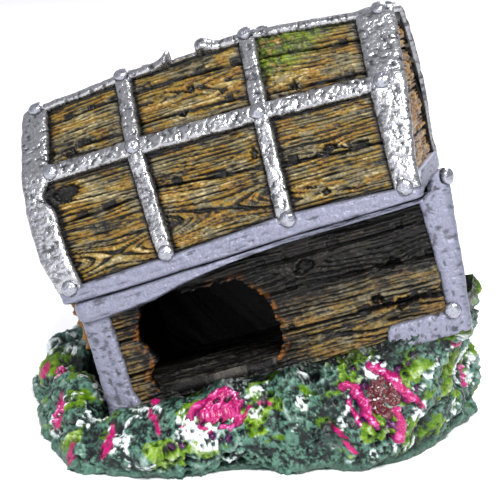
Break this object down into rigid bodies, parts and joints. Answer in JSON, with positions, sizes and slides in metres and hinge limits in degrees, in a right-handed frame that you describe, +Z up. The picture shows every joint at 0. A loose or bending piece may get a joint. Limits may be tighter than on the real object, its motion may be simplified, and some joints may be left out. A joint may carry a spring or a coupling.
{
  "type": "bubbling ornament",
  "caption": "Aquarium ornament: a tipped, half-sunk treasure chest on a coral rock base, with a hinged barrel lid that trapped air lifts, a fish entry hole and an air line inlet.",
  "frame": {"origin": "middle of the outline, on the ground that the flat underside stands on", "axes": "+Z up, -Y the front with the entry hole, +X to the right as seen from the front"},
  "size_m": [0.1328, 0.103, 0.1184],
  "materials": {
    "lid_wood_resin": "cast resin carved as old planks, ochre dry brush over a black wash",
    "tub_wood_resin": "cast resin carved as old planks, almost black, with pale brown edges",
    "silver_paint": "bright silver paint over hammered resin relief",
    "coral_resin": "pitted resin rock in teal, moss green, white and black paint under a clear varnish",
    "bloom_paint": "glossy magenta and pink paint",
    "pin_steel": "stainless wire",
    "seal_rubber": "soft black rubber",
    "clear_grey_plastic": "smooth grey plastic",
    "air_stone_grit": "sintered blue-grey grit"
  },
  "bodies": {
    "base": {"air_inlet": "clear_grey_plastic", "air_pipe": "clear_grey_plastic", "air_stone": "air_stone_grit", "bloom_back": "bloom_paint", "bloom_front_left": "bloom_paint", "bloom_front_right": "bloom_paint", "bloom_left_high": "bloom_paint", "bloom_left_low": "bloom_paint", "bloom_right": "bloom_paint", "coral_bank_back": "coral_resin", "coral_bank_left": "coral_resin", "hinge_pin_left": "pin_steel", "hinge_pin_right": "pin_steel", "inlet_seal": "seal_rubber", "rock_ledge": "coral_resin", "rock_plinth": "coral_resin", "stone_socket": "clear_grey_plastic", "tub_back_wall": "tub_wood_resin", "tub_corner_strap_back_left": "silver_paint", "tub_corner_strap_back_right": "silver_paint", "tub_corner_strap_front_left": "silver_paint", "tub_corner_strap_front_right": "silver_paint", "tub_floor": "tub_wood_resin", "tub_foot_strap": "silver_paint", "tub_front_wall": "tub_wood_resin", "tub_hinge_left": "silver_paint", "tub_hinge_right": "silver_paint", "tub_left_end": "tub_wood_resin", "tub_right_end": "tub_wood_resin", "tub_rim_band": "silver_paint", "tub_rivets": "silver_paint"},
    "lid": {"lid_back_crown_panel": "lid_wood_resin", "lid_back_crown_strap": "silver_paint", "lid_back_panel": "lid_wood_resin", "lid_back_stringer": "silver_paint", "lid_crown_panel": "lid_wood_resin", "lid_crown_strap_left": "silver_paint", "lid_crown_strap_right": "silver_paint", "lid_front_crown_panel": "lid_wood_resin", "lid_front_panel": "lid_wood_resin", "lid_front_stringer": "silver_paint", "lid_hinge_left": "silver_paint", "lid_hinge_right": "silver_paint", "lid_hoop_1": "silver_paint", "lid_hoop_2": "silver_paint", "lid_hoop_3": "silver_paint", "lid_hoop_4": "silver_paint", "lid_left_end": "lid_wood_resin", "lid_right_end": "lid_wood_resin", "lid_rim_band": "silver_paint", "lid_rivets": "silver_paint"}
  },
  "joints": [
    {"name": "lid_hinge", "type": "hinge", "parent": "base", "child": "lid", "pos_m": [0.00984, 0.03554, 0.04959], "axis": [-0.941, 0.1416, -0.3073], "range_deg": [0, 32]}
  ]
}
